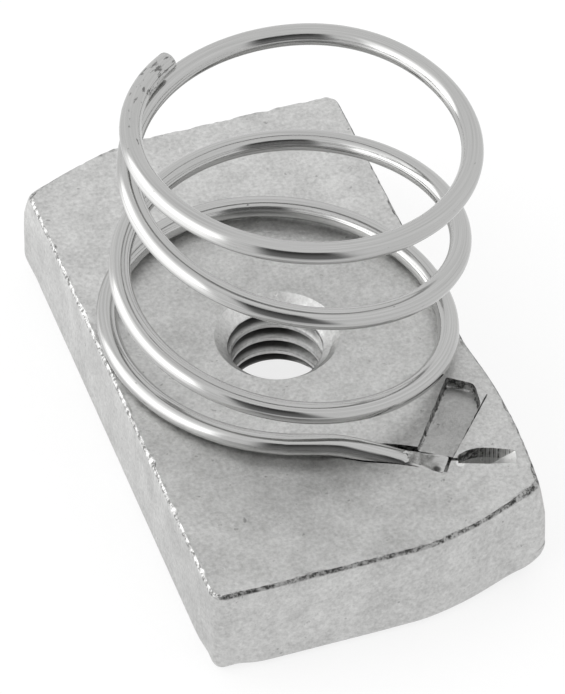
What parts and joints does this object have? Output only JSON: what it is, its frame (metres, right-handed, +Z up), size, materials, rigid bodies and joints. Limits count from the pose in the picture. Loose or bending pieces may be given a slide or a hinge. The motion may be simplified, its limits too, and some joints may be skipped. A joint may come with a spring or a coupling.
{
  "type": "strut spring nut",
  "caption": "Strut-channel nut with a threaded hole and a staked coil spring that holds it up against the lips of the channel while a bolt is started.",
  "frame": {"origin": "on the axis of the threaded hole, in the plane of the underside that grips the channel; within 0.5 mm of the centre of the bounding box's bottom", "axes": "+Z up through the nut towards the spring, Y along the nut's long side"},
  "size_m": [0.0207, 0.035, 0.0217],
  "materials": {
    "plate_zinc": "bright zinc plate over a blanked steel surface, satin",
    "wire_zinc": "bright zinc plate over drawn spring wire, semi-gloss"
  },
  "bodies": {
    "root": {"nut_body": "plate_zinc", "coil_spring": "wire_zinc"}
  },
  "joints": []
}
